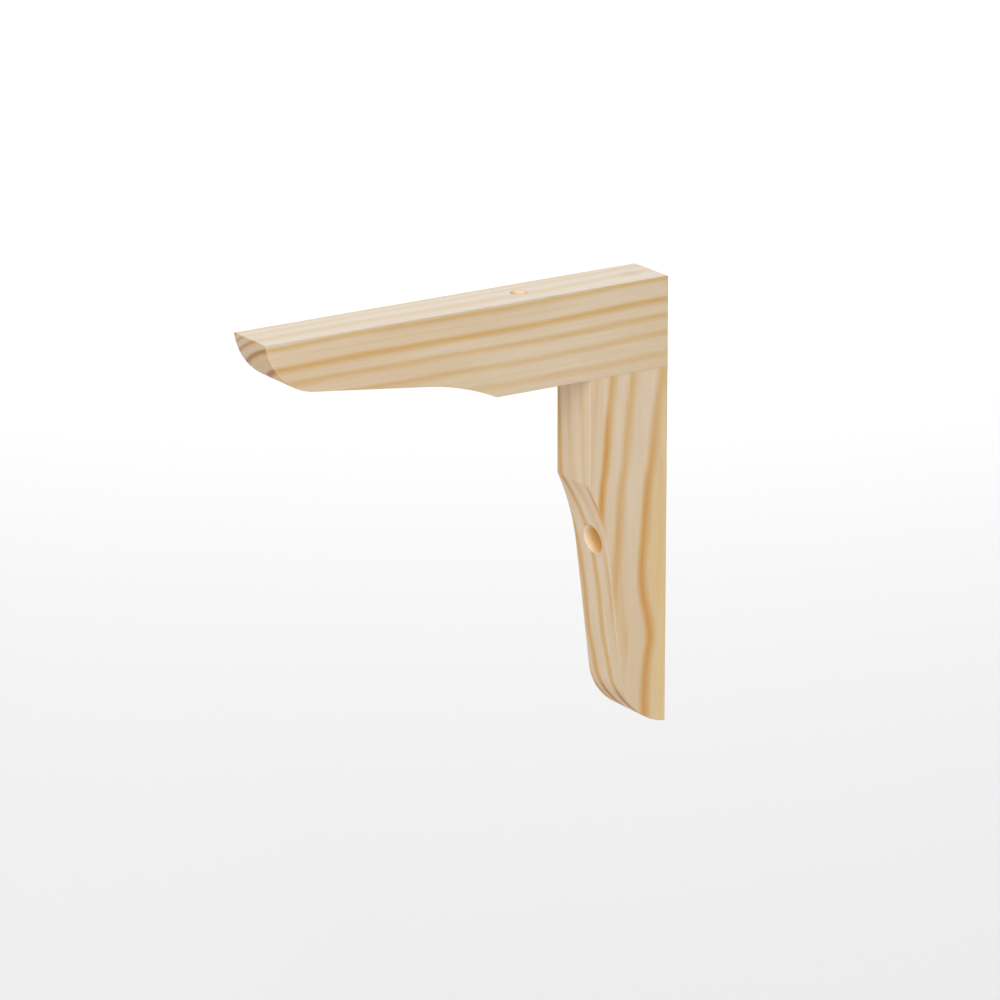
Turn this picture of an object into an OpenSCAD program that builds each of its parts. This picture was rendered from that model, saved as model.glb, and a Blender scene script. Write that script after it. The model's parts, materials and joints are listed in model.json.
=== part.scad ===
// Wooden shelf bracket: an arm that carries the shelf, and a leg glued end-on under it.
// Both boards are cut to one edge pattern: a straight pad, a hollow, a long taper, a round end.
//
// Millimetres. X is side to side, the wall plane is Y = 0 with the arm towards -Y, and Z is up.
// The origin is the middle of the wall face.
// In the pattern, s runs along a board from the bracket's outer corner and d is the depth there.

/* [Boards] */
// Thickness of both boards, side to side
thickness = 25; // [20:1:40]
// Depth of each board at its square end
board_d = 40; // [33:1:50]
// Reach of the arm from the wall
arm_l = 200; // [160:1:260]
// Overall height, from the shelf face to the tip of the leg
height = 200; // [160:1:260]

/* [Edge pattern] */
// Straight run at full depth, from the outer corner
pad_l = 86; // [72:1:104]
// Radius that softens the end of the straight run
corner_r = 4; // [2:0.5:8]
// Radius of the hollow
cove_r = 112; // [80:1:120]
// Steepest slope of the hollow, in degrees
cove_a = 25; // [20:1:27]
// Slope of the long taper, in degrees
taper_a = 7; // [5:0.5:9]
// Slope of the round end at the tip, in degrees, where 90 is square across the board
tip_a = 82; // [70:1:90]

/* [Screw holes] */
// Bore that clears a screw's shank
shank_d = 7; // [4:0.5:8]
// Wider bore that sinks a screw's head
head_d = 13; // [10:0.5:15]
// Wood left under a screw's head
seat_web = 18; // [10:1:20]
// Wall screw's distance below the shelf face
wall_screw_drop = 115; // [100:1:140]
// Wall screw's distance off the middle of the thickness, towards +X
wall_screw_side = 1.5; // [-3:0.5:3]
// Shelf screw's distance from the wall
shelf_screw_out = 68; // [56:1:78]

/* [Hidden] */
$fn = 96;
// Slope between two points of a gentle arc, and of the round end, in degrees
gentle_step = 1;
nose_step = 2.5;
// How far a cutting tool runs past the face that it cuts
over = 1;
top_z = height / 2;

// Unit vector square out of a board's edge where it falls at slope a
function outward(a) = [sin(a), cos(a)];

// Points of an arc about c from the slope a0 up to a1, less its last point, where the next
// stretch starts. It bulges where r is above 0 and is hollow where r is below 0.
function arc(c, r, a0, a1, step) =
    let (n = ceil(abs(a1 - a0) / step))
    [for (i = [0:n - 1]) c + r * outward(a0 + (a1 - a0) * i / n)];

// Each stretch meets the next on a shared normal, so an edge has no kink before its tip
corner_c = [pad_l, board_d - corner_r];
cove_c = corner_c + (corner_r + cove_r) * outward(cove_a);
taper_start = cove_c - cove_r * outward(taper_a);

// Radius of the round end, which turns from the taper's slope to tip_a and stops at [l, 0]:
// how far the tip lies inside the taper's line, over what a unit arc of that turn comes in
function nose_r(l) =
    outward(taper_a) * (taper_start - [l, 0]) / (1 - cos(tip_a - taper_a));

// Outline of a board cut square at s = start, with its tip at s = l
function outline(start, l) =
    let (r = nose_r(l))
    concat(
        [[start, 0], [start, board_d]],
        arc(corner_c, corner_r, 0, cove_a, gentle_step),
        arc(cove_c, -cove_r, cove_a, taper_a, gentle_step),
        [taper_start],
        arc([l, 0] - r * outward(tip_a), r, taper_a, tip_a, nose_step),
        [[l, 0]]);

// A board of the pattern with s along +X, d along +Y and its thickness centred on Z = 0
module board(start, l) {
    linear_extrude(height = thickness, center = true) polygon(outline(start, l));
}

// What a drill takes out along +Z from a face at Z = 0: shank bore first, head bore past the web
module screw_hole() {
    translate([0, 0, -over]) cylinder(d = shank_d, h = seat_web + 2 * over);
    translate([0, 0, seat_web]) cylinder(d = head_d, h = board_d - seat_web + over);
}

// The arm runs from the wall to its tip, over the leg. Its screw goes up into the shelf.
module arm() {
    color("burlywood") difference() {
        translate([0, 0, top_z]) rotate([-90, 0, -90]) board(0, arm_l);
        translate([0, -shelf_screw_out, top_z]) rotate([180, 0, 0]) screw_hole();
    }
}

// The leg starts under the arm and runs down the wall. Its screw goes back into the wall.
module leg() {
    color("wheat") difference() {
        translate([0, 0, top_z]) rotate([0, 90, 180]) board(board_d, height);
        translate([wall_screw_side, 0, top_z - wall_screw_drop]) rotate([90, 0, 0]) screw_hole();
    }
}

arm();
leg();
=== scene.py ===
import json
import math

import bmesh
import bpy
import numpy as np
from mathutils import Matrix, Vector


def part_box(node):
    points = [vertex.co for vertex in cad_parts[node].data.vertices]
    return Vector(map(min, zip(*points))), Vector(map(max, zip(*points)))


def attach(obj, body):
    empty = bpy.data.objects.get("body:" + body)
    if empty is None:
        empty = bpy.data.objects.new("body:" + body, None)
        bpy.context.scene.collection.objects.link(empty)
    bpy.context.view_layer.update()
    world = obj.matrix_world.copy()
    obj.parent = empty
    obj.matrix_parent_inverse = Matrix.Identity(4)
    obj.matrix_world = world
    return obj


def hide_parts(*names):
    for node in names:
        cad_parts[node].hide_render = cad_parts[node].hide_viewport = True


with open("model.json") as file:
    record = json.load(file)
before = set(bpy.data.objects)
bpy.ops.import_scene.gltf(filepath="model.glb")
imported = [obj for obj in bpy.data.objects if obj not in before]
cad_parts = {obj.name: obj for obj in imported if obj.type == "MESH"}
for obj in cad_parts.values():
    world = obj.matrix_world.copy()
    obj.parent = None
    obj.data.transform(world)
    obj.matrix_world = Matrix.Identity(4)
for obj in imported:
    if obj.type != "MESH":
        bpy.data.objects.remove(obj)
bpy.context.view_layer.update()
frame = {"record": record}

# ---------------------------------------------------------------- sizes, in metres and radians
MM = 0.001
arm_low, arm_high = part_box("arm")
leg_low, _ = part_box("leg")
THICKNESS = arm_high.x - arm_low.x
TOP = arm_high.z
BOARD_D = TOP - arm_low.z
ARM_L = -arm_low.y
HEIGHT = TOP - leg_low.z

# The edge pattern that both boards are cut to: pad, softened corner, hollow, taper, round end
PAD_L = 86 * MM
CORNER_R = 4 * MM
COVE_R = 112 * MM
COVE_A = math.radians(25)
TAPER_A = math.radians(7)
TIP_A = math.radians(82)

# Screw holes: places and shank bores come from the mounts, the head bore is the wider one
mounts = {mount["name"]: mount for mount in frame["record"]["mounts"]}
shelf_screw_at = mounts["shelf_screw"]["pos_m"]
wall_screw_at = mounts["wall_screw"]["pos_m"]
SHELF_SCREW = (shelf_screw_at[0], -shelf_screw_at[1])
WALL_SCREW = (wall_screw_at[0], TOP - wall_screw_at[2])
SHANK_R = mounts["wall_screw"]["dims"]["r_mm"] * MM
SEAT_WEB = mounts["wall_screw"]["dims"]["length_mm"] * MM
HEAD_R = 6.5 * MM
RIM_EASE = 0.6 * MM

# Sanded arrises, and the two that meet in the glue line, which stay almost sharp
EASE = 0.38 * MM
GLUED_EASE = 0.08 * MM
EASE_RUN = 2.5 * MM
# Unevenness of the sanding: share of EASE, wavelength over 2 pi in millimetres, and phase
SANDING_WAVES = ((0.14, 9.0, 1.0), (0.1, 3.7, 0.0))

# Mesh: the usual step along a board and the finer one round the softened corner
STEP = 1.6 * MM
CORNER_STEP = 0.3 * MM
# Rows down a board's sides, which start and stop this share of its depth from the arrises
ROWS = 20
ROW_MARGIN = 0.03
# Columns across a board's edge, which take this share of the flat between its arrises
COLUMNS = 24
COLUMN_SHARE = 0.92
# A line of vertices this close behind each arris and rim keeps the flats flat
SUPPORT = 0.2 * MM
# About how many steps a quarter turn round an arris or a rim takes
ARRIS_STEPS = 5
# Columns each side of a hole that its square takes out
PATCH_HALF = 10
# Rings down each bore, and the share of the head bore's depth at which its first one lies
BORE_RINGS = 12
BORE_TOP = 0.05
# Shares of the way at which a hole's square turns into its round rim
SPREAD_STEPS = (0.25, 0.5, 0.75, 1.0)
# The side's rows lean over from the shaped edge to the outer face past this share of the length,
# and within this run of the square end
LEAN_FROM = 0.7
LEAN_RUN = 6 * MM
# Slope at which the round end passes from the edge's grid to the tip's, and how steeply the
# side's inner rows forget its two ends
NOSE_SPLIT_A = math.radians(45)
END_FADE = 6
# Vertices nearer than this are one
WELD = 0.001 * MM


# ---------------------------------------------------------------- the boards' shape
# In a board's own space x is across it, s runs along it from the bracket's outer corner,
# and d is the depth in from its outer face.
def outward(a):
    """Unit vector (s, d) square out of an edge that falls at slope a: (sin a, cos a)."""
    return np.stack([np.sin(a), np.cos(a)], axis=-1)


CORNER_C = np.array([PAD_L, BOARD_D - CORNER_R])
COVE_C = CORNER_C + (CORNER_R + COVE_R) * outward(COVE_A)
TAPER_START = COVE_C - COVE_R * outward(TAPER_A)
CORNER_END_S = CORNER_C[0] + CORNER_R * math.sin(COVE_A)


def nose(length):
    """Centre and radius of the round end. It turns from the taper's slope to TIP_A and stops at
    (length, 0), so its radius is how far that tip lies inside the taper's line, over
    1 - cos(turn)."""
    tip = np.array([length, 0.0])
    radius = outward(TAPER_A) @ (TAPER_START - tip) / (1 - math.cos(TIP_A - TAPER_A))
    return tip - radius * outward(TIP_A), radius


def edge(s, length):
    """Depth and slope of the shaped edge at s. The slope is 0 on the pad, asin(run / radius) on
    each arc and TAPER_A on the taper. The depth is the arc centre's depth plus radius * cos(slope)
    where the edge bulges, minus that where it is hollow, and a straight line on the taper."""
    centre, radius = nose(length)
    nose_s = centre[0] + radius * math.sin(TAPER_A)
    stretches = [s < PAD_L, s < CORNER_END_S, s < TAPER_START[0], s < nose_s]

    def angle(run, r):
        return np.arcsin(np.clip(run / r, -1, 1))

    flat = np.zeros_like(s)
    slope = np.select(
        stretches,
        [flat, angle(s - PAD_L, CORNER_R), angle(COVE_C[0] - s, COVE_R), flat + TAPER_A],
        angle(s - centre[0], radius))
    rise = np.cos(slope)
    depth = np.select(
        stretches,
        [flat + BOARD_D, CORNER_C[1] + CORNER_R * rise, COVE_C[1] - COVE_R * rise,
         TAPER_START[1] - (s - TAPER_START[0]) * math.tan(TAPER_A)],
        centre[1] + radius * rise)
    return depth, slope


def smooth(t):
    """3t^2 - 2t^3, with t held between 0 and 1."""
    t = np.clip(t, 0, 1)
    return t * t * (3 - 2 * t)


def arris_radius(points, glue):
    """Radius of the arris at outline points (s, d): GLUED_EASE on the glue line from glue[0] to
    glue[1], growing to EASE over EASE_RUN away from it, with a slow hand-sanded unevenness."""
    along = glue[1] - glue[0]
    t = np.clip((points - glue[0]) @ along / (along @ along), 0, 1)
    away = np.linalg.norm(points - glue[0] - t[:, None] * along, axis=1)
    run = (points[:, 0] + points[:, 1]) / MM
    waves = [share * np.sin(run / wave + phase) for share, wave, phase in SANDING_WAVES]
    sanded = EASE * (1 + sum(waves))
    return GLUED_EASE + (sanded - GLUED_EASE) * smooth(away / EASE_RUN)


def stations(start, hole_s, end):
    """Places along a board from start to end: PATCH_HALF even steps each side of the hole, fine
    steps round the softened corner, about STEP elsewhere, and one close behind the square end."""
    half = PATCH_HALF * column_gap()
    marks = sorted([start + SUPPORT, hole_s - half, hole_s + half, PAD_L, CORNER_END_S, end])
    runs = [np.array([start])]
    for low, high in zip(marks[:-1], marks[1:]):
        step = CORNER_STEP if low == PAD_L else STEP
        count = 2 * PATCH_HALF if low == hole_s - half else math.ceil((high - low) / step)
        runs.append(np.linspace(low, high, count, endpoint=False))
    return np.concatenate([*runs, [end]])


def column_gap():
    """Space between two columns across the flat of a board's edge."""
    return 2 * COLUMN_SHARE * (THICKNESS / 2 - EASE) / COLUMNS


def quads(index):
    """Faces of a grid of vertex numbers: each cell's four corners in turn."""
    cells = [index[:-1, :-1], index[1:, :-1], index[1:, 1:], index[:-1, 1:]]
    return np.stack(cells, axis=-1).reshape(-1, 4)


def side_patch(bottom, top, left, right):
    """Flat side of a board between four boundary curves: the straight blend from bottom to top,
    plus what left and right stand off it by, each faded by a steep power of the way along."""
    u = ((top[:, 0] - top[0, 0]) / (top[-1, 0] - top[0, 0]))[:, None, None]
    v = ((left[:, 1] - left[0, 1]) / (left[-1, 1] - left[0, 1]))[:, None]
    grid = bottom[:, None] * (1 - v) + top[:, None] * v
    off_left = left - left[0] * (1 - v) - left[-1] * v
    off_right = right - right[0] * (1 - v) - right[-1] * v
    return grid + off_left * (1 - u) ** END_FADE + off_right * u ** END_FADE


def hole_lining(mouth, back, hole, length):
    """Everything a drill leaves, as one surface of the angle round the hole and the run through it:
    from the square of edge vertices round the mouth, in to the eased rim, down the head bore,
    across the seat, through the shank bore and out to the square on the outer face."""
    hole_x, hole_s = hole
    angle = np.arctan2(mouth[:, 0] - hole_x, mouth[:, 1] - hole_s)
    turn = np.stack([np.sin(angle), np.cos(angle)], axis=-1)
    rings = [mouth]

    def ring(r, d):
        """Adds a round ring of radius r at depth d."""
        rings.append(np.column_stack([r * turn + hole, 0 * angle + d]))

    def on_edge(r):
        """Depths of the shaped edge round a circle of radius r."""
        return edge(hole_s + r * turn[:, 1], length)[0]

    def spread(square, r, t):
        """A square of vertices, moved the share t of the way to a circle of radius r."""
        return square[:, :2] * (1 - t) + (turn * r + hole) * t

    for t in SPREAD_STEPS:
        flat = spread(mouth, HEAD_R + RIM_EASE + SUPPORT, t)
        rings.append(np.column_stack([flat, edge(flat[:, 1], length)[0]]))
    for phi in np.linspace(0, math.pi / 2, ARRIS_STEPS):
        r = HEAD_R + RIM_EASE * (1 - math.sin(phi))
        ring(r, on_edge(r) - RIM_EASE * (1 - math.cos(phi)))
    for t in np.linspace(BORE_TOP, 1, BORE_RINGS):
        ring(HEAD_R, (on_edge(HEAD_R) - RIM_EASE) * (1 - t) + (SEAT_WEB + SUPPORT / 2) * t)
    for r in (HEAD_R, HEAD_R - SUPPORT / 2, (HEAD_R + SHANK_R) / 2, SHANK_R + SUPPORT / 2):
        ring(r, SEAT_WEB)
    for d in np.linspace(SEAT_WEB, RIM_EASE, BORE_RINGS):
        ring(SHANK_R, d)
    for phi in np.linspace(math.pi / 2, 0, ARRIS_STEPS)[1:]:
        ring(SHANK_R + RIM_EASE * (1 - math.sin(phi)), RIM_EASE * (1 - math.cos(phi)))
    for t in SPREAD_STEPS[::-1]:
        rings.append(np.column_stack([spread(back, SHANK_R + RIM_EASE + SUPPORT, t), 0 * angle]))
    rings.append(back)
    return np.stack(rings)


def square_ring(grid, rows, columns):
    """Vertices of a grid round a block of its cells, in turn."""
    (r0, r1), (c0, c1) = rows, columns
    return np.concatenate([
        grid[r0, c0:c1], grid[r0:r1, c1], grid[r1, c1:c0:-1], grid[r1:r0:-1, c0]])


def outline_runs(start, length, hole_s, glue):
    """The four runs of a board's outline: the shaped edge, the round end past NOSE_SPLIT_A, the
    outer face and the square end. Each is (inner points, outward slopes, arris radii), where an
    inner point lies its arris's radius in from the outline."""
    centre, radius = nose(length)
    corners = np.array([[start, 0], [start, BOARD_D], [length, 0]])
    e_low, e_high, e_tip = arris_radius(corners, glue)
    split_s = centre[0] + radius * math.sin(NOSE_SPLIT_A)
    tip_s = centre[0] + math.sqrt((radius - e_tip) ** 2 - (e_tip - centre[1]) ** 2)
    tip_slope = math.asin((tip_s - centre[0]) / (radius - e_tip))

    s_edge = stations(start + e_high, hole_s, split_s)
    at_tip = smooth((s_edge - LEAN_FROM * length) / (split_s - LEAN_FROM * length))
    at_start = 1 - smooth((s_edge - s_edge[0]) / LEAN_RUN)
    s_outer = s_edge + (tip_s - split_s) * at_tip + (e_low - e_high) * at_start
    close_row = SUPPORT / BOARD_D
    even_rows = np.linspace(ROW_MARGIN, 1 - ROW_MARGIN, ROWS)
    rows = np.concatenate([[0, close_row], even_rows, [1 - close_row, 1]])

    d_edge, slope_edge = edge(s_edge, length)
    slope_nose = NOSE_SPLIT_A + (tip_slope - NOSE_SPLIT_A) * (1 - rows[::-1])
    outline = {
        "edge": (np.column_stack([s_edge, d_edge]), slope_edge),
        "nose": (centre + radius * outward(slope_nose), slope_nose),
        "outer": (np.column_stack([s_outer, 0 * s_outer]), 0 * s_outer + math.pi),
        "end": (np.column_stack([0 * rows + start, e_low + (BOARD_D - e_low - e_high) * rows]),
                0 * rows + 1.5 * math.pi),
    }
    ease = {name: arris_radius(points, glue) for name, (points, _) in outline.items()}
    ease["edge"][0] = ease["end"][-1] = e_high
    ease["outer"][0] = ease["end"][0] = e_low
    ease["nose"][-1] = ease["outer"][-1] = e_tip
    ease["nose"][0] = ease["edge"][-1]
    return {name: (points - ease[name][:, None] * outward(slopes), slopes, ease[name])
            for name, (points, slopes) in outline.items()}


def outline_loop(runs):
    """The runs joined into one closed loop: inner points Q, outward unit vectors N and arris radii
    e, with the place in the loop where the outer face starts. At the tip and at the two corners of
    the square end Q stays where it is and N turns."""
    def corner(run, at, slope_from, slope_to):
        """One point of a run, repeated while the slope turns."""
        points, _, ease = runs[run]
        turn = np.linspace(slope_from, slope_to, 2 * ARRIS_STEPS)[1:-1]
        return np.tile(points[at], (len(turn), 1)), turn, np.full(len(turn), ease[at])

    before_outer = [runs["edge"], runs["nose"], corner("nose", -1, runs["nose"][1][-1], math.pi)]
    from_outer = [
        [values[::-1] for values in runs["outer"]],
        corner("end", 0, math.pi, 1.5 * math.pi),
        runs["end"],
        corner("end", -1, 1.5 * math.pi, 2 * math.pi),
    ]
    q, slopes, e = (np.concatenate(values) for values in zip(*before_outer, *from_outer))
    return q, outward(slopes), e, sum(len(slopes) for _, slopes, _ in before_outer)


def arris_band(q, n, e):
    """Surface that crosses a board at each point of its outline's loop. Round each arris it is
    Q + e sin(phi) N at x = half - e + e cos(phi), and between the arrises Q + e N straight
    across."""
    half = THICKNESS / 2
    phi = np.linspace(0, math.pi / 2, ARRIS_STEPS + 1)
    close_column = 1 - SUPPORT / half
    even_columns = np.linspace(COLUMN_SHARE, -COLUMN_SHARE, COLUMNS + 1)
    flat = np.concatenate([[close_column], even_columns, [-close_column]])
    reach = np.concatenate([np.sin(phi), np.ones(len(flat)), np.sin(phi[::-1])])
    lean = np.concatenate([np.cos(phi), np.zeros(len(flat)), -np.cos(phi[::-1])])
    across = np.concatenate([np.ones(len(phi)), flat, -np.ones(len(phi))])
    band = np.empty((len(q), len(reach), 3))
    band[:, :, 0] = across * (half - e[:, None]) + lean * e[:, None]
    band[:, :, 1:] = q[:, None] + (reach[None, :, None] * e[:, None, None]) * n[:, None]
    return band


def board_surface(start, length, hole, glue):
    """A board's closed surface in its own space: vertices (x, s, d) and faces. A band goes round
    its outline, less a square at each mouth of its screw hole. The hole's lining joins the two
    squares, and a flat patch closes each side. Vertices inside the squares are dropped."""
    runs = outline_runs(start, length, hole[1], glue)
    q, n, e, outer_first = outline_loop(runs)
    band = arris_band(q, n, e)

    s_edge = runs["edge"][0][:, 0]
    first = np.argmin(abs(s_edge - (hole[1] - PATCH_HALF * column_gap())))
    last = first + 2 * PATCH_HALF
    outer_last = outer_first + len(s_edge) - 1
    middle = band.shape[1] // 2
    columns = (middle - PATCH_HALF, middle + PATCH_HALF)
    mouth = square_ring(band, (first, last), columns)
    back = square_ring(band[outer_first:outer_last + 1][::-1], (first, last), columns)

    index = np.arange(band[:, :, 0].size).reshape(band.shape[:2])
    keep = np.ones((len(q), band.shape[1] - 1), bool)
    keep[first:last, slice(*columns)] = False
    keep[outer_last - last:outer_last - first, slice(*columns)] = False
    vertices = [band.reshape(-1, 3)]
    faces = [quads(np.vstack([index, index[:1]]))[keep.ravel()]]

    def include(grid, wrap=False):
        """Adds a grid's vertices and faces. Wrapped, its last column joins its first."""
        offset = sum(len(part) for part in vertices)
        numbers = offset + np.arange(grid[..., 0].size).reshape(grid.shape[:2])
        faces.append(quads(np.hstack([numbers, numbers[:, :1]]) if wrap else numbers))
        vertices.append(grid.reshape(-1, 3))

    inner = {name: points for name, (points, _, _) in runs.items()}
    patch = side_patch(inner["outer"], inner["edge"], inner["end"], inner["nose"][::-1])
    for side in (THICKNESS / 2, -THICKNESS / 2):
        include(np.concatenate([np.full(patch.shape[:2] + (1,), side), patch], axis=2))
    include(hole_lining(mouth, back, hole, length), wrap=True)
    faces = np.concatenate(faces)
    used, numbers = np.unique(faces, return_inverse=True)
    return np.concatenate(vertices)[used], numbers.reshape(faces.shape)


def arris_distance(points, start, length, hole):
    """How far surface points (x, s, d) are from the nearest arris. On the surface the smallest of
    the distances to the side, the outer face, the edge and the square end is nothing, so the
    next smallest is the way to an arris. A hole's rim is one too."""
    x, s, d = points.T
    depth, slope = edge(s, length)
    under = (depth - d) * np.cos(slope)
    walls = np.stack([THICKNESS / 2 - abs(x), d, under, s - start])
    from_axis = np.hypot(x - hole[0], s - hole[1])
    rims = [np.hypot(from_axis - HEAD_R, under), np.hypot(from_axis - SHANK_R, d)]
    return np.minimum(np.sort(walls, axis=0)[1], np.minimum(*rims))


def bore_depth(points, length, hole):
    """How far points (x, s, d) lie down the screw hole from the nearer face, 0 outside it."""
    x, s, d = points.T
    inside = np.hypot(x - hole[0], s - hole[1]) < HEAD_R + RIM_EASE
    return np.where(inside, np.minimum(d, edge(s, length)[0] - d), 0)


def make_board(name, start, length, hole, glue, axes):
    """Builds a board, welds its surface closed, carries it from (x, s, d) to the frame by the
    matrix axes, and keeps each vertex's arris distance and bore depth, in millimetres."""
    vertices, faces = board_surface(start, length, hole, np.array(glue, float))
    mesh = bpy.data.meshes.new(name)
    mesh.from_pydata(vertices, [], faces)
    shell = bmesh.new()
    shell.from_mesh(mesh)
    bmesh.ops.remove_doubles(shell, verts=shell.verts, dist=WELD)
    shell.to_mesh(mesh)
    shell.free()

    local = np.empty(len(mesh.vertices) * 3)
    mesh.vertices.foreach_get("co", local)
    local = local.reshape(-1, 3)
    marks = {"arris_mm": arris_distance(local, start, length, hole),
             "bore_mm": bore_depth(local, length, hole)}
    for mark, values in marks.items():
        mesh.attributes.new(mark, "FLOAT", "POINT").data.foreach_set("value", values / MM)
    mesh.vertices.foreach_set("co", (local @ np.array(axes, float).T + [0, 0, TOP]).ravel())

    shell = bmesh.new()
    shell.from_mesh(mesh)
    bmesh.ops.recalc_face_normals(shell, faces=shell.faces)
    shell.to_mesh(mesh)
    shell.free()
    mesh.polygons.foreach_set("use_smooth", np.ones(len(mesh.polygons), bool))
    mesh.update()
    board = bpy.data.objects.new(name, mesh)
    bpy.context.scene.collection.objects.link(board)
    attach(board, "root")
    return board


# ---------------------------------------------------------------- material helpers
def feed(tree, socket, value):
    """Links value to an input socket where it is another node's output, and sets it where not."""
    if isinstance(value, bpy.types.NodeSocket):
        tree.links.new(value, socket)
    else:
        socket.default_value = value


def add(tree, kind, sockets=None, **settings):
    """Adds a node, sets its options and feeds its input sockets."""
    node = tree.nodes.new(kind)
    for option, value in settings.items():
        setattr(node, option, value)
    for socket, value in (sockets or {}).items():
        feed(tree, node.inputs[socket], value)
    return node


def maths(tree, operation, *values, clamp=False):
    """A Math node's output."""
    sockets = dict(enumerate(values))
    return add(tree, "ShaderNodeMath", sockets, operation=operation, use_clamp=clamp).outputs[0]


def vector_maths(tree, operation, *values):
    """A Vector Math node, for its Vector or Value output."""
    return add(tree, "ShaderNodeVectorMath", dict(enumerate(values)), operation=operation)


def fade(tree, value, low, high, start=0.0, end=1.0):
    """A smooth step of value from start at low to end at high."""
    node = add(tree, "ShaderNodeMapRange",
               {"Value": value, "From Min": low, "From Max": high, "To Min": start, "To Max": end},
               interpolation_type="SMOOTHSTEP")
    return node.outputs["Result"]


def blend(tree, factor, first, second, mode="MIX"):
    """A colour Mix node's output. Its factor and two colours are inputs 0, 6 and 7."""
    sockets = {0: factor, 6: first, 7: second}
    return add(tree, "ShaderNodeMix", sockets, data_type="RGBA", blend_type=mode).outputs[2]


def grain(tree, board, across, along, detail=2.0, rough=0.5):
    """A noise about 0.5 over board space, with grain so many millimetres across and along it."""
    size = (across, along, across)
    stretched = vector_maths(tree, "DIVIDE", board, size).outputs["Vector"]
    node = add(tree, "ShaderNodeTexNoise",
               {"Vector": stretched, "Scale": 1.0, "Detail": detail, "Roughness": rough})
    return node.outputs["Fac"]


def centred(tree, value):
    """A noise moved to lie about 0."""
    return maths(tree, "SUBTRACT", value, 0.5)


def axis(tree, vector, name):
    """One of a vector's X, Y and Z."""
    return add(tree, "ShaderNodeSeparateXYZ", {"Vector": vector}).outputs[name]


def ramp(tree, value, stops, interpolation="LINEAR"):
    """A colour that runs through stops, each (place from 0 to 1, colour), as value grows."""
    node = add(tree, "ShaderNodeValToRGB", {"Fac": value})
    node.color_ramp.interpolation = interpolation
    elements = node.color_ramp.elements
    elements.remove(elements[1])
    elements[0].position, elements[0].color = stops[0]
    for place, colour in stops[1:]:
        elements.new(place).color = colour
    return node.outputs["Color"]


def new_group(name, inputs, outputs):
    """An empty shader node group with named sockets: its tree and its two end nodes."""
    tree = bpy.data.node_groups.new(name, "ShaderNodeTree")
    for socket, kind in inputs:
        tree.interface.new_socket(socket, in_out="INPUT", socket_type="NodeSocket" + kind)
    for socket, kind in outputs:
        tree.interface.new_socket(socket, in_out="OUTPUT", socket_type="NodeSocket" + kind)
    return tree, tree.nodes.new("NodeGroupInput"), tree.nodes.new("NodeGroupOutput")


def srgb(red, green, blue):
    """Linear colour from 0 to 255 display values."""
    channels = [c / 255 for c in (red, green, blue)]
    return (*[c / 12.92 if c <= 0.04045 else ((c + 0.055) / 1.055) ** 2.4 for c in channels], 1)


# ---------------------------------------------------------------- effects both boards share
def make_growth_rings():
    """Ring radius at a point: its distance from the pith's axis, less the distance from the +X side
    times how far the ring is from the Middle one times Crowding In or Out, less the wander, which
    grows by Loosening for each millimetre nearer the pith, plus a long wavy noise."""
    tree, given, result = new_group(
        "growth rings",
        [("Board", "Vector"), ("Pith", "Vector"), ("Middle", "Float"),
         ("Crowding In", "Float"), ("Crowding Out", "Float"),
         ("Wander", "Float"), ("Loosening", "Float"), ("Waviness", "Float")],
        [("Radius", "Float")])
    board = given.outputs["Board"]
    flat = vector_maths(tree, "MULTIPLY", board, (1, 0, 1)).outputs["Vector"]
    from_pith = vector_maths(tree, "DISTANCE", flat, given.outputs["Pith"]).outputs["Value"]
    inwards = maths(tree, "SUBTRACT", THICKNESS / 2 / MM, axis(tree, board, "X"))
    beyond = maths(tree, "SUBTRACT", from_pith, given.outputs["Middle"])
    outer = maths(tree, "MAXIMUM", beyond, 0.0)
    inner = maths(tree, "MINIMUM", beyond, 0.0)
    crowd = maths(tree, "SUBTRACT", maths(tree, "MULTIPLY", outer, given.outputs["Crowding Out"]),
                  maths(tree, "MULTIPLY", inner, given.outputs["Crowding In"]))
    crowded = maths(tree, "SUBTRACT", from_pith, maths(tree, "MULTIPLY", crowd, inwards))
    loose = maths(tree, "MULTIPLY", beyond, given.outputs["Loosening"])
    wandered = maths(tree, "MULTIPLY", given.outputs["Wander"], maths(tree, "SUBTRACT", 1.0, loose))
    placed = maths(tree, "SUBTRACT", crowded, wandered)
    wave = centred(tree, grain(tree, board, 14, 60, 3.0, 0.55))
    wave = maths(tree, "MULTIPLY", wave, given.outputs["Waviness"])
    tree.links.new(maths(tree, "ADD", placed, wave), result.inputs["Radius"])
    return tree


def make_fibres():
    """Fine streaks along the grain and, on a face cut across it, the speckle of fibre ends."""
    tree, given, result = new_group(
        "wood fibres", [("Board", "Vector"), ("End Grain", "Float")],
        [("Streak", "Float"), ("Height", "Float")])
    board = given.outputs["Board"]
    broad = centred(tree, grain(tree, board, 1.6, 45))
    fine = centred(tree, grain(tree, board, 0.45, 14, 3.0, 0.6))
    ends = centred(tree, grain(tree, board, 0.22, 0.5, 2.0, 0.6))
    speckle = maths(tree, "MULTIPLY", ends, given.outputs["End Grain"])
    streak = maths(tree, "MULTIPLY", maths(tree, "ADD", broad, fine), 0.5)
    tree.links.new(maths(tree, "ADD", streak, speckle), result.inputs["Streak"])
    tree.links.new(maths(tree, "ADD", fine, speckle), result.inputs["Height"])
    return tree


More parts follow.
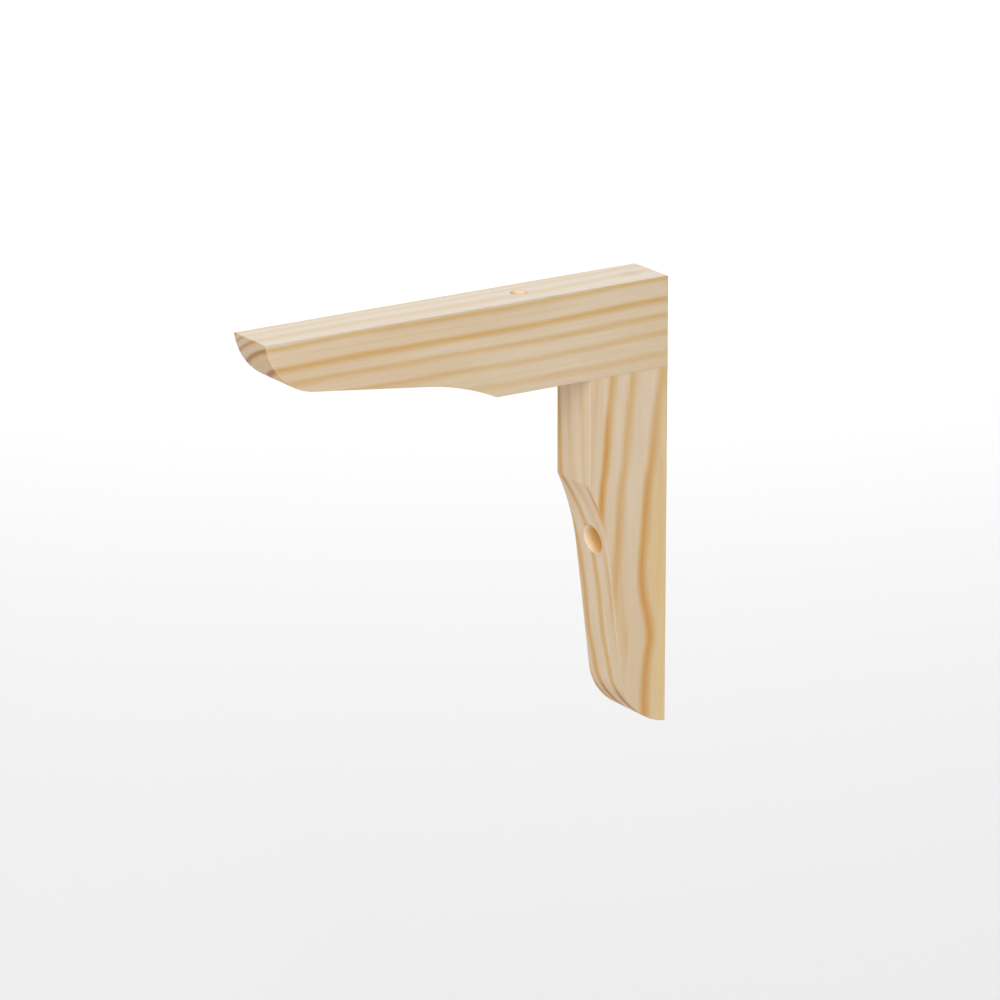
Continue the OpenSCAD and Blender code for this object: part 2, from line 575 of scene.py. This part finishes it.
def make_pine_tone():
    """Pine's colour from how dense the latewood is, with drifts of tone along the board, fine
    streaks, browner rings where the grain is cut across, arrises that are darker both from wear
    and as painted shade that dims their highlight, and painted light in the bore: creamy at its lit
    mouth and golden in its shaded depth."""
    tree, given, result = new_group(
        "pine tone",
        [("Board", "Vector"), ("Tint", "Color"), ("Latewood", "Float"), ("Streak", "Float"),
         ("End Grain", "Float"), ("Bore Depth", "Float"), ("Worn", "Float")],
        [("Color", "Color")])
    late = given.outputs["Latewood"]
    wood = ramp(tree, late, (
        (0.0, srgb(223, 204, 176)), (0.35, srgb(218, 191, 148)),
        (0.65, srgb(214, 177, 120)), (1.0, srgb(212, 154, 80))))
    drift = fade(tree, grain(tree, given.outputs["Board"], 18, 120), 0.35, 0.7)
    warm = blend(tree, drift, wood, srgb(251, 245, 236), "MULTIPLY")
    streaks = fade(tree, given.outputs["Streak"], -0.3, 0.3, 0.4, 0.0)
    streaked = blend(tree, streaks, warm, srgb(232, 215, 190), "MULTIPLY")
    tinted = blend(tree, 1.0, streaked, given.outputs["Tint"], "MULTIPLY")

    cut = given.outputs["End Grain"]
    ended = blend(tree, cut, tinted, srgb(245, 234, 216), "MULTIPLY")
    dense = maths(tree, "MULTIPLY", maths(tree, "MULTIPLY", late, late), 2.0, clamp=True)
    bands = maths(tree, "MULTIPLY", dense, cut)
    banded = blend(tree, bands, ended, srgb(198, 146, 76), "MULTIPLY")

    # painted shade: the arrises are blended darker, dimming the highlight they catch, on top of
    # their wear
    painted_arris_shade = maths(tree, "MULTIPLY", given.outputs["Worn"], 0.3)
    wear_and_shade = blend(tree, painted_arris_shade, banded, srgb(212, 182, 140))
    depth = given.outputs["Bore Depth"]
    # painted light in the bore: cream near its lit mouth, golden deeper in for its shade and bounce
    # light
    painted_bore_light = blend(tree, fade(tree, depth, 1.0, 5.0), srgb(252, 232, 204), srgb(240, 194, 108))
    drilled = blend(tree, fade(tree, depth, 0.0, 0.5, 0.0, 0.9), wear_and_shade, painted_bore_light)
    tree.links.new(drilled, result.inputs["Color"])
    return tree


def make_edge_wear_and_shade():
    """Mask along the arrises for handling wear, which makes them smoother, and for painted shade
    that
    darkens them to dim their highlight: strong on the arris, broken up by a noise, gone within a
    millimetre."""
    tree, given, result = new_group(
        "edge wear", [("Board", "Vector"), ("Distance", "Float")], [("Worn", "Float")])
    near = fade(tree, given.outputs["Distance"], 0.2, 0.9, 1.0, 0.0)
    patchy = fade(tree, grain(tree, given.outputs["Board"], 2.5, 9, 3.0, 0.6), 0.3, 0.65, 0.4, 1.0)
    wear_and_shade = maths(tree, "MULTIPLY", near, patchy)
    tree.links.new(wear_and_shade, result.inputs["Worn"])
    return tree


def make_soft_patch():
    """A mask that is 1 round Centre and fades to 0 where the distance from it, over Size along
    each axis, reaches 1."""
    tree, given, result = new_group(
        "soft patch", [("Board", "Vector"), ("Centre", "Vector"), ("Size", "Vector")],
        [("Mask", "Float")])
    offset = vector_maths(tree, "SUBTRACT", given.outputs["Board"], given.outputs["Centre"])
    share = vector_maths(tree, "DIVIDE", offset.outputs["Vector"], given.outputs["Size"])
    away = vector_maths(tree, "LENGTH", share.outputs["Vector"]).outputs["Value"]
    tree.links.new(fade(tree, away, 0.3, 1.0, 1.0, 0.0), result.inputs["Mask"])
    return tree


GROWTH_RINGS = make_growth_rings()
FIBRES = make_fibres()
PINE_TONE = make_pine_tone()
EDGE_WEAR_AND_SHADE = make_edge_wear_and_shade()
SOFT_PATCH = make_soft_patch()


def use(tree, group, sockets):
    """Places a shared effect in a material."""
    return add(tree, "ShaderNodeGroup", sockets, node_tree=group)


# ---------------------------------------------------------------- the two boards' wood
def paler(tree, late, board, patches):
    """Latewood that is fainter in soft patches, each (centre, size, share taken off)."""
    for centre, size, share in patches:
        patch = use(tree, SOFT_PATCH, {"Board": board, "Centre": centre, "Size": size})
        left = maths(tree, "MULTIPLY_ADD", patch.outputs["Mask"], -share, 1.0)
        late = maths(tree, "MULTIPLY", late, left)
    return late


def latewood(tree, radius, low, high, rings):
    """Latewood density over the ring radius. Each ring is (radius, strength, inside, outside): its
    density rises smoothly over the inside millimetres and falls over the outside ones."""
    place = add(tree, "ShaderNodeMapRange", {"Value": radius, "From Min": low, "From Max": high})
    stops = [(0.0, (0, 0, 0, 1))]
    for middle, strength, inside, outside in rings:
        for offset, grey in ((-inside, 0), (0, strength), (outside, 0)):
            stops.append(((middle + offset - low) / (high - low), (grey, grey, grey, 1)))
    return ramp(tree, place.outputs["Result"], stops, "EASE")


def wander(tree, board, length, places):
    """How far the rings wander outwards along a board: a smooth curve through (s, wander) places
    in millimetres. The curve node holds wanders of up to its reach either way."""
    reach = 10.0
    along = maths(tree, "DIVIDE", axis(tree, board, "Y"), length)
    node = add(tree, "ShaderNodeFloatCurve", {"Value": along})
    curve = node.mapping.curves[0]
    points = [(s / length, 0.5 + w / (2 * reach)) for s, w in places]
    curve.points[0].location = points[0]
    curve.points[1].location = points[-1]
    for point in points[1:-1]:
        curve.points.new(*point)
    node.mapping.update()
    return maths(tree, "MULTIPLY_ADD", node.outputs["Value"], 2 * reach, -reach)


def sand(tree, shader, late, fibres, wear_and_shade, bore):
    """A sanded surface. Latewood and rubbed arrises are smoother than the rest, and streaks and
    the bores' unsanded walls rougher. Fibres and latewood stand a little proud, and bores are the
    most uneven."""
    rough = maths(tree, "MULTIPLY_ADD", late, -0.1, 0.62)
    rough = maths(tree, "MULTIPLY_ADD", fibres.outputs["Streak"], 0.15, rough)
    rough = maths(tree, "MULTIPLY_ADD", wear_and_shade, -0.08, rough)
    rough = maths(tree, "MULTIPLY_ADD", bore, 0.2, rough, clamp=True)
    tree.links.new(rough, shader.inputs["Roughness"])
    raised = maths(tree, "MULTIPLY_ADD", late, 0.25, fibres.outputs["Height"])
    raised = maths(tree, "MULTIPLY", raised, maths(tree, "MULTIPLY_ADD", bore, 2.0, 1.0))
    bump = add(tree, "ShaderNodeBump", {"Height": raised, "Strength": 0.35, "Distance": 0.08 * MM})
    tree.links.new(bump.outputs["Normal"], shader.inputs["Normal"])
    shader.inputs["Sheen Weight"].default_value = 0.1
    shader.inputs["Sheen Roughness"].default_value = 0.5


def pine(name, scale, turn, shift, rings):
    """Bare sanded pine. Mapping takes Object coordinates to board space in millimetres, and the
    rings function builds this board's latewood and tint there."""
    material = bpy.data.materials.new(name)
    material.use_nodes = True
    tree = material.node_tree
    shader = tree.nodes["Principled BSDF"]
    place = add(tree, "ShaderNodeTexCoord")
    board = add(tree, "ShaderNodeMapping", {
        "Vector": place.outputs["Object"], "Scale": scale, "Rotation": turn,
        "Location": shift}).outputs["Vector"]
    normal = add(tree, "ShaderNodeMapping", {
        "Vector": place.outputs["Normal"], "Scale": [c * MM for c in scale],
        "Rotation": turn}).outputs["Vector"]
    arris = add(tree, "ShaderNodeAttribute", attribute_name="arris_mm").outputs["Fac"]
    depth = add(tree, "ShaderNodeAttribute", attribute_name="bore_mm").outputs["Fac"]
    bore = fade(tree, depth, 0.0, 0.5)
    cut_across = fade(tree, maths(tree, "ABSOLUTE", axis(tree, normal, "Y")), 0.25, 0.62)
    end_grain = maths(tree, "MULTIPLY", cut_across, maths(tree, "SUBTRACT", 1.0, bore))

    late, tint = rings(tree, board)
    fibres = use(tree, FIBRES, {"Board": board, "End Grain": end_grain})
    # arris mask: smoother wear in the roughness, painted shade in the colour
    wear = use(tree, EDGE_WEAR_AND_SHADE, {"Board": board, "Distance": arris})
    tone = use(tree, PINE_TONE, {
        "Board": board, "Tint": tint, "Latewood": late, "Streak": fibres.outputs["Streak"],
        "End Grain": end_grain, "Bore Depth": depth, "Worn": wear.outputs["Worn"]})
    tree.links.new(tone.outputs["Color"], shader.inputs["Base Color"])
    sand(tree, shader, late, fibres, wear.outputs["Worn"], bore)
    return material


def arm_rings(tree, board):
    """The arm's pith lies below it and to one side, so its rings arch across the end and run
    straight along the side. Its outermost rings, along its top, are painted paler and bluer as a
    painted sheen for the white reflection along the grazing top. A small grey fleck lies near the
    wall."""
    drift = wander(tree, board, 200, (
        (0, 0.9), (20, 0.7), (45, 0.0), (120, -0.2), (165, -0.1), (190, -0.6), (200, -0.6)))
    radius = use(tree, GROWTH_RINGS, {
        "Board": board, "Pith": (53, 0, 121), "Wander": drift, "Waviness": 0.8}).outputs["Radius"]
    rings = ((95.3, 0.34, 2.8, 2.0), (98.8, 0.1, 1.2, 1.0), (103.6, 0.42, 2.8, 2.0),
             (110.9, 0.48, 3.0, 2.0), (117.6, 0.7, 3.2, 1.9), (122.0, 0.1, 1.2, 1.0),
             (126.3, 0.62, 2.6, 1.8), (131.3, 0.48, 2.2, 1.4), (134.8, 0.4, 1.6, 1.0),
             (137.6, 0.6, 1.4, 1.2))
    # painted sheen: the top's outer rings are made paler and bluer for the white reflection the
    # grazing top shows
    painted_top_sheen = fade(tree, radius, 123.0, 129.0)
    pale = blend(tree, painted_top_sheen, (1.0, 1.01, 1.03, 1), (1.0, 1.09, 1.27, 1))
    fleck = use(tree, SOFT_PATCH, {"Board": board, "Centre": (1, 12, 0), "Size": (5, 8, 2)})
    tint = blend(tree, fleck.outputs["Mask"], pale, (0.9, 0.94, 1.0, 1))
    return latewood(tree, radius, 88, 142, rings), tint


def leg_rings(tree, board):
    """The leg's pith lies far behind the wall, so its rings slant through it and come out on the
    front as stripes. They are crisp near the +X side and softer away from it, and the wood
    towards the wall is more golden."""
    drift = wander(tree, board, 200, (
        (30, -4.4), (43, -3.7), (60, -2.4), (80, -1.4), (90, -0.5), (100, 0.0), (115, 0.5),
        (130, 1.0), (140, 0.6), (150, -0.5), (160, -1.2), (170, -0.5), (185, 0.0), (200, 0.0)))
    radius = use(tree, GROWTH_RINGS, {
        "Board": board, "Pith": (-167.5, 0, -113), "Middle": 226.0, "Crowding In": 0.02,
        "Crowding Out": 0.05, "Wander": drift, "Loosening": 0.02,
        "Waviness": 0.8}).outputs["Radius"]
    crisp = latewood(tree, radius, 185, 245, (
        (196.0, 0.5, 3.0, 2.0), (205.0, 0.7, 3.0, 2.4), (218.6, 0.92, 2.8, 2.1),
        (226.6, 0.6, 3.0, 1.9), (232.6, 0.98, 2.7, 1.5), (237.0, 0.3, 1.8, 1.8)))
    soft = latewood(tree, radius, 185, 245, (
        (196.0, 0.5, 4.0, 3.0), (205.0, 0.8, 5.0, 4.5), (218.4, 0.75, 4.0, 3.2),
        (226.8, 0.32, 3.0, 2.6), (232.6, 0.3, 3.0, 2.2), (237.0, 0.2, 2.0, 2.0)))
    near = fade(tree, axis(tree, board, "X"), 8.0, 12.2)
    late = paler(tree, blend(tree, near, soft, crisp), board, (
        ((12.5, 40, 0), (30, 75, 22), 0.36), ((12.5, 168, 24.5), (10, 48, 5), 0.75),
        ((12.5, 40, 29), (10, 30, 8), 0.3), ((11.5, 62, 40), (4.5, 45, 2.5), 0.9)))
    inner_rings = fade(tree, radius, 213.5, 219.5, 0.9, 0.0)
    wall_side = fade(tree, axis(tree, board, "Z"), 8.0, 22.0, 1.0, 0.0)
    golden = maths(tree, "MULTIPLY", inner_rings, wall_side)
    tint = blend(tree, golden, (1.01, 1.01, 1.03, 1), (1.07, 0.98, 0.7, 1))
    return late, tint


# ---------------------------------------------------------------- the pieces
arm = make_board("arm_board", 0.0, ARM_L, SHELF_SCREW,
                 ((0, BOARD_D), (BOARD_D, BOARD_D)), ((1, 0, 0), (0, -1, 0), (0, 0, -1)))
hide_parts("arm")
arm.data.materials.append(
    pine("arm pine", (1000, 1000, 1000), (math.pi, 0, 0), (0, 0, TOP / MM), arm_rings))

leg = make_board("leg_board", BOARD_D, HEIGHT, WALL_SCREW,
                 ((BOARD_D, 0), (BOARD_D, BOARD_D)), ((1, 0, 0), (0, 0, -1), (0, -1, 0)))
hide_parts("leg")
leg.data.materials.append(
    pine("leg pine", (1000, -1000, 1000), (math.pi / 2, 0, 0), (0, TOP / MM, 0), leg_rings))


# ---------------------------------------------------------------- floor, light and camera
FLOOR_DROP = 300 * MM
FLOOR_HALF = 6.0
# Point on the bracket's middle plane that the camera and lights look at
MIDDLE = Vector((0, -80 * MM, 15 * MM))


def look_from(thing, azimuth, elevation, distance):
    """Puts a light or camera out from MIDDLE, turned to look at it, and adds it to the scene. The
    azimuth is in degrees from -Y towards +X."""
    a, e = math.radians(azimuth), math.radians(elevation)
    away = Vector((math.sin(a) * math.cos(e), -math.cos(a) * math.cos(e), math.sin(e)))
    thing.location = MIDDLE + away * distance
    thing.rotation_euler = away.to_track_quat("Z", "Y").to_euler()
    bpy.context.scene.collection.objects.link(thing)


def make_floor():
    """A plain pale floor under the hanging bracket, unseen from below."""
    z = leg_low.z - FLOOR_DROP
    corners = [(x * FLOOR_HALF, y * FLOOR_HALF, z) for x, y in ((-1, -1), (1, -1), (1, 1), (-1, 1))]
    mesh = bpy.data.meshes.new("floor")
    mesh.from_pydata(corners, [], [(0, 1, 2, 3)])
    floor = bpy.data.objects.new("floor", mesh)
    bpy.context.scene.collection.objects.link(floor)
    material = bpy.data.materials.new("pale floor")
    material.use_nodes = True
    tree = material.node_tree
    shader = tree.nodes["Principled BSDF"]
    shader.inputs["Base Color"].default_value = (0.94, 0.94, 0.94, 1)
    shader.inputs["Roughness"].default_value = 0.9
    clear = add(tree, "ShaderNodeBsdfTransparent")
    behind = add(tree, "ShaderNodeNewGeometry").outputs["Backfacing"]
    mix = add(tree, "ShaderNodeMixShader", {0: behind, 1: shader.outputs[0], 2: clear.outputs[0]})
    tree.links.new(mix.outputs[0], tree.nodes["Material Output"].inputs["Surface"])
    mesh.materials.append(material)


def soft_light(name, azimuth, elevation, distance, size, power):
    """A square softbox out from MIDDLE, of a size in metres and a power in watts."""
    lamp = bpy.data.lights.new(name, "AREA")
    lamp.size = size
    lamp.energy = power
    light = bpy.data.objects.new(name, lamp)
    light.visible_camera = False
    look_from(light, azimuth, elevation, distance)


def make_light():
    """White surroundings, a weak softbox above, a broad key near the camera, and one low behind
    the bracket that lights its back and its top."""
    world = bpy.data.worlds.new("studio")
    world.use_nodes = True
    background = world.node_tree.nodes["Background"]
    background.inputs["Color"].default_value = (1, 1, 1, 1)
    background.inputs["Strength"].default_value = 0.26
    bpy.context.scene.world = world
    soft_light("overhead softbox", 0, 88, 4.0, 3.0, 8)
    soft_light("key softbox", 46.5, 37, 2.5, 2.2, 56)
    soft_light("back softbox", 236.8, 24, 3.0, 2.4, 54)


def make_camera():
    """Looks at the bracket from its front right, a little above it, through a long lens."""
    lens = bpy.data.cameras.new("camera")
    lens.lens = 220.95
    lens.sensor_width = 36
    lens.shift_x = 0.0052
    lens.shift_y = -0.0099
    lens.clip_start = 0.1
    camera = bpy.data.objects.new("camera", lens)
    look_from(camera, 56.81, 17.24, 2.5988)
    bpy.context.scene.camera = camera


make_floor()
make_light()
make_camera()
bpy.context.scene.view_settings.view_transform = "Standard"
